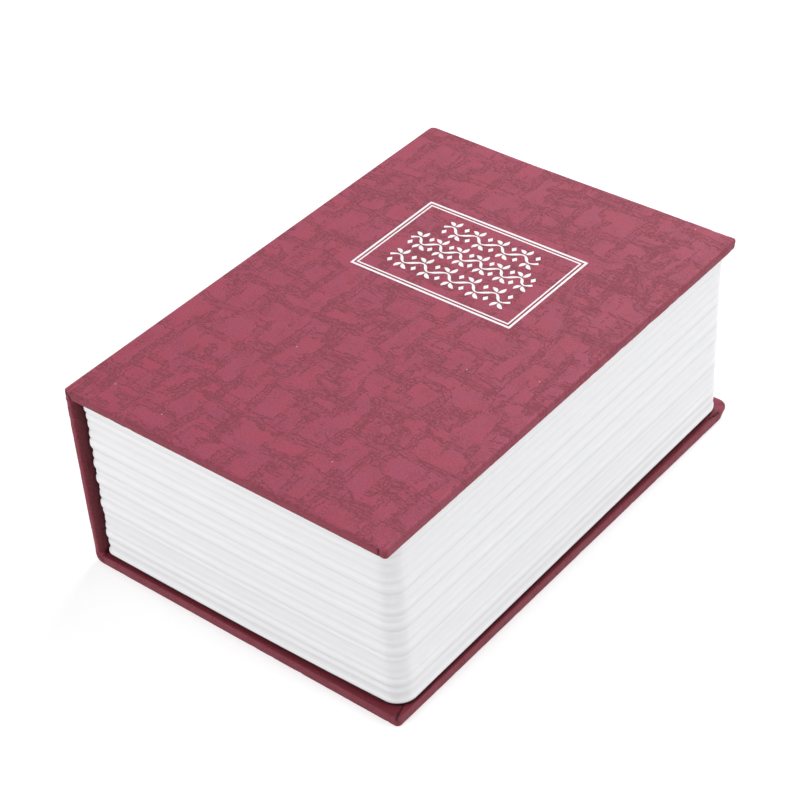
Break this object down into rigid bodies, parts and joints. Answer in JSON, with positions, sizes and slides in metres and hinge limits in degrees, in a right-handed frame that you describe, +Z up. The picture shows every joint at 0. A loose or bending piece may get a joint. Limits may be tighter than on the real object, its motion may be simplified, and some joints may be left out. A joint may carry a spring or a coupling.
{
  "type": "book diversion safe",
  "caption": "Small dummy book in paper-covered boards that hides a steel strongbox with a hinged lid and a cam lock behind its front cover.",
  "frame": {"origin": "middle of the closed book's underside, on the surface that it rests on", "axes": "+X from the spine to the fore edge, +Y from the tail (foot) to the head of the book, +Z up from the back cover to the front cover"},
  "size_m": [0.0794, 0.115, 0.0452],
  "materials": {
    "board": "raw grey board",
    "covering_paper": "satin maroon leather-print paper",
    "lining_paper": "matt charcoal",
    "page_plastic": "satin white",
    "black_steel": "black powder coat",
    "zinc_steel": "bright zinc",
    "chrome": "polished",
    "brass": "satin"
  },
  "bodies": {
    "casing": {"back_board": "board", "spine_board": "board", "case_wrap": "covering_paper", "page_block": "page_plastic", "strongbox_tray": "black_steel", "strike_bracket": "zinc_steel", "hinge_rod": "zinc_steel", "tray_screw_1": "zinc_steel", "tray_screw_2": "zinc_steel", "tray_screw_3": "zinc_steel", "tray_screw_4": "zinc_steel"},
    "front_cover": {"front_board": "board", "front_wrap": "covering_paper", "front_lining": "lining_paper"},
    "lid": {"lid_panel": "black_steel", "lock_housing": "chrome", "lock_washer": "zinc_steel", "lock_nut": "zinc_steel"},
    "lock_core": {"lock_plug": "brass", "lock_cam": "zinc_steel", "cam_washer": "zinc_steel", "cam_screw": "zinc_steel"}
  },
  "joints": [
    {"name": "front_cover_hinge", "type": "hinge", "parent": "casing", "child": "front_cover", "pos_m": [-0.0399, 0, 0.0429], "axis": [0, -1, 0], "range_deg": [0, 180]},
    {"name": "lid_hinge", "type": "hinge", "parent": "casing", "child": "lid", "pos_m": [-0.0315, 0, 0.0396], "axis": [0, -1, 0], "range_deg": [0, 105]},
    {"name": "lock_turn", "type": "hinge", "parent": "lid", "child": "lock_core", "pos_m": [0.0176, 0.00025, 0.0413], "axis": [0, 0, -1], "range_deg": [0, 90]}
  ],
  "couplings": [
    {"joint": "lid_hinge", "follows": "front_cover_hinge", "ratio": 0.58333}
  ]
}
